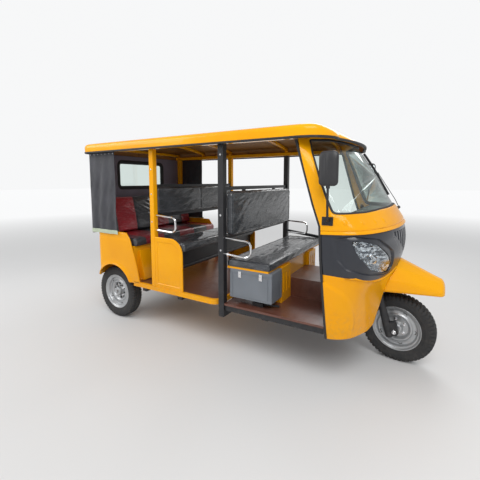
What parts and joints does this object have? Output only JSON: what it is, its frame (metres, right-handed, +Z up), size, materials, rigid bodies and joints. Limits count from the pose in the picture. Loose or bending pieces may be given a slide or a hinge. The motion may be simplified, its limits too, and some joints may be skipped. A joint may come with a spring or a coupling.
{
  "type": "auto rickshaw",
  "caption": "Passenger auto rickshaw with an open cabin, bench seats, a curved nose, a steered front wheel and driven rear wheels.",
  "frame": {"origin": "on the ground, in the centre plane, at the middle of the length", "axes": "+X forward along the length, +Y to the vehicle's left, +Z up"},
  "size_m": [3.196, 1.604, 1.863],
  "materials": {
    "body_paint": "gloss",
    "mask_paint": "satin",
    "black_steel": "gloss",
    "clear_glass": "clear",
    "black_rubber": "matt",
    "tyre_rubber": "matt",
    "brown_board": "film faced",
    "dark_cover": "covered with clear film",
    "red_cover": "covered with clear film",
    "silver_rim": "silver",
    "chrome_steel": "polished",
    "cast_block": "cast",
    "grey_box": "moulded",
    "dark_plastic": "grained",
    "lamp_clear": "clear",
    "lamp_red": "clear red",
    "tarpaulin": "coated",
    "grey_lining": "satin"
  },
  "bodies": {
    "body": {"chassis_frame": "black_steel", "rear_deck": "body_paint", "floor_boards": "brown_board", "floor_step": "brown_board", "front_fairing": "body_paint", "front_mask": "mask_paint", "screen_surround": "body_paint", "window_rubber": "black_rubber", "window_glass": "clear_glass", "door_trim": "black_rubber", "fire_wall": "dark_plastic", "dashboard": "dark_plastic", "headlamp_bodies": "chrome_steel", "headlamp_lenses": "lamp_clear", "front_mudguard": "body_paint", "roof_shell": "body_paint", "roof_frame": "body_paint", "centre_frame": "black_steel", "guard_rail": "black_steel", "rear_tub": "body_paint", "rear_seat_box": "body_paint", "rear_cushion": "red_cover", "rear_backrest": "red_cover", "seat_frames": "black_steel", "rear_wall": "grey_lining", "side_panels": "body_paint", "middle_cushion": "dark_cover", "middle_backrest": "dark_cover", "driver_cushion": "dark_cover", "driver_backrest": "dark_cover", "driver_seat_base": "body_paint", "tool_box": "grey_box", "hand_rails": "chrome_steel", "curtains": "tarpaulin", "mirror_arms": "black_steel", "mirror_housings": "dark_plastic", "tail_lamps": "lamp_red", "foot_lever": "black_steel", "engine": "cast_block", "leaf_springs": "black_steel", "rear_axle": "black_steel"},
    "steering": {"fork_yoke": "black_steel", "fork_legs": "black_steel", "handlebar": "black_steel"},
    "front_wheel": {"front_tyre": "tyre_rubber", "front_rim": "silver_rim"},
    "rear_wheel_left": {"rear_tyre_left": "tyre_rubber", "rear_rim_left": "silver_rim"},
    "rear_wheel_right": {"rear_tyre_right": "tyre_rubber", "rear_rim_right": "silver_rim"}
  },
  "joints": [
    {"name": "steering", "type": "hinge", "parent": "body", "child": "steering", "pos_m": [1.25643, 0, 0.25673], "axis": [-0.2504, 0, 0.9681], "range_deg": [-31, 45]},
    {"name": "front_wheel_spin", "type": "hinge", "parent": "steering", "child": "front_wheel", "pos_m": [1.29967, -0.00548, 0.26792], "axis": [0.118, 0.9925, 0.0305], "continuous": true},
    {"name": "rear_wheel_left_spin", "type": "hinge", "parent": "body", "child": "rear_wheel_left", "pos_m": [-1.3, 0.56, 0.268], "axis": [0, 1, 0], "continuous": true},
    {"name": "rear_wheel_right_spin", "type": "hinge", "parent": "body", "child": "rear_wheel_right", "pos_m": [-1.3, -0.56, 0.268], "axis": [0, 1, 0], "continuous": true}
  ]
}
